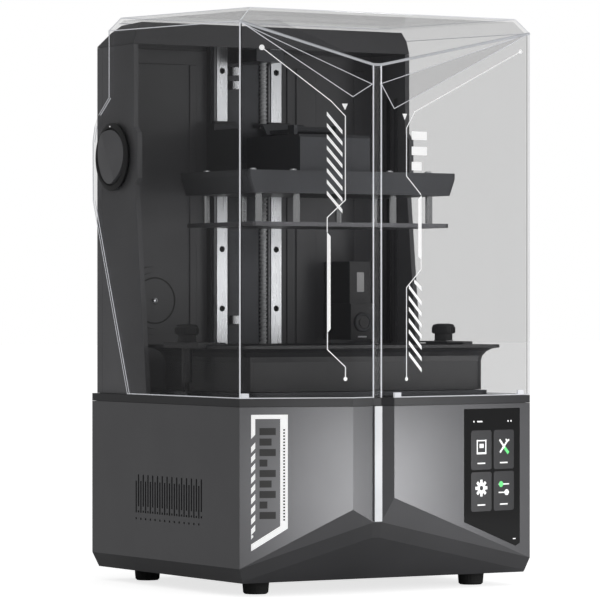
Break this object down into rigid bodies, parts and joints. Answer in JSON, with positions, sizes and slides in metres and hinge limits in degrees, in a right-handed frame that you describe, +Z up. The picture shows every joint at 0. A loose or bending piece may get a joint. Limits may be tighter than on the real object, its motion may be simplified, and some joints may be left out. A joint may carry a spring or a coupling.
{
  "type": "resin 3d printer",
  "caption": "Desktop resin 3D printer with a prow-fronted base, a smoked clear flip-up hood, a tilting resin vat and a build platform on a screw-driven vertical axis.",
  "frame": {"origin": "centre of the bounding box at the underside of the feet", "axes": "+X right, -Y to the front (the prow), +Z up"},
  "size_m": [0.3394, 0.3296, 0.559],
  "materials": {
    "metallic_grey": "fine metallic grey, satin",
    "dark_plastic": "fine grain",
    "black_plastic": "fine grain",
    "pale_trim": "satin",
    "rubber": "matt",
    "steel": "ground",
    "dark_aluminium": "anodised, bead blasted",
    "circuit_board": "solder mask",
    "black_glass": "polished black glass",
    "smoked_clear": "smoked clear acrylic",
    "clear_lens": "clear acrylic",
    "release_film": "clear film",
    "brass": "turned"
  },
  "bodies": {
    "root": {"base_shell": "metallic_grey", "deck": "dark_plastic", "housing_arm_left": "dark_plastic", "housing_arm_right": "dark_plastic", "housing_back": "dark_plastic", "housing_top_cap": "dark_plastic", "filter_cover": "dark_plastic", "light_shroud": "black_plastic", "cooling_fan_frame": "black_plastic", "power_inlet": "black_plastic", "camera_body": "black_plastic", "lamp_housing": "black_plastic", "z_motor": "black_plastic", "front_strip": "pale_trim", "chamber_lamp": "pale_trim", "foot_front_left": "rubber", "foot_front_right": "rubber", "foot_rear_left": "rubber", "foot_rear_right": "rubber", "power_supply": "steel", "usb_port": "steel", "hinge_boss_left": "steel", "hinge_boss_right": "steel", "rail_left": "steel", "rail_right": "steel", "base_floor": "dark_aluminium", "display_module": "dark_aluminium", "panel_frame": "dark_aluminium", "heat_sink": "dark_aluminium", "z_column": "dark_aluminium", "top_bearing": "dark_aluminium", "bottom_bearing": "dark_aluminium", "led_array": "circuit_board", "mainboard": "circuit_board", "touch_screen": "black_glass", "lcd_mask_panel": "black_glass", "camera_lens": "black_glass", "collimating_lens": "clear_lens"},
    "hood": {"hood": "smoked_clear", "hinge_cap_left": "black_plastic", "hinge_cap_right": "black_plastic"},
    "platform": {"carriage_left": "steel", "carriage_right": "steel", "lead_nut": "brass", "platform_arm": "dark_aluminium", "platform_block": "dark_aluminium", "build_plate": "dark_aluminium"},
    "release_lever": {"release_lever": "steel"},
    "screw": {"lead_screw": "steel", "shaft_coupler": "dark_aluminium"},
    "tray": {"tilt_tray": "dark_aluminium"},
    "vat": {"resin_vat": "black_plastic", "film_frame": "steel", "release_film": "release_film"},
    "knob_left": {"vat_knob_left": "black_plastic"},
    "knob_right": {"vat_knob_right": "black_plastic"},
    "fan": {"cooling_fan_rotor": "black_plastic"},
    "switch": {"power_switch": "black_plastic"}
  },
  "joints": [
    {"name": "hood_hinge", "type": "hinge", "parent": "root", "child": "hood", "pos_m": [0, 0.1216, 0.42], "axis": [-1, 0, 0], "range_deg": [0, 72]},
    {"name": "platform_lift", "type": "slide", "parent": "root", "child": "platform", "axis": [0, 0, 1], "range_m": [-0.162, 0.06]},
    {"name": "screw_turn", "type": "hinge", "parent": "root", "child": "screw", "pos_m": [0, 0.106, 0.304], "axis": [0, 0, 1], "range_deg": [-2705, 7295]},
    {"name": "release_lever_turn", "type": "hinge", "parent": "platform", "child": "release_lever", "pos_m": [0, 0.008, 0.4455], "axis": [1, 0, 0], "range_deg": [0, 60]},
    {"name": "vat_tilt", "type": "hinge", "parent": "root", "child": "tray", "pos_m": [0, 0.076, 0.187], "axis": [-1, 0, 0], "range_deg": [0, 3]},
    {"name": "vat_lift_off", "type": "slide", "parent": "tray", "child": "vat", "axis": [0, 0, 1], "range_m": [0, 0.06]},
    {"name": "knob_left_turn", "type": "hinge", "parent": "vat", "child": "knob_left", "pos_m": [-0.1475, 0, 0.244], "axis": [0, 0, 1], "continuous": true},
    {"name": "knob_right_turn", "type": "hinge", "parent": "vat", "child": "knob_right", "pos_m": [0.1475, 0, 0.244], "axis": [0, 0, 1], "continuous": true},
    {"name": "fan_spin", "type": "hinge", "parent": "root", "child": "fan", "pos_m": [-0.06, 0.1425, 0.089], "axis": [0, 1, 0], "continuous": true},
    {"name": "switch_rock", "type": "hinge", "parent": "root", "child": "switch", "pos_m": [0.14, 0.1606, 0.064], "axis": [1, 0, 0], "range_deg": [-7, 0]}
  ],
  "couplings": [
    {"joint": "screw_turn", "follows": "platform_lift", "rad_per_m": -785.4}
  ]
}
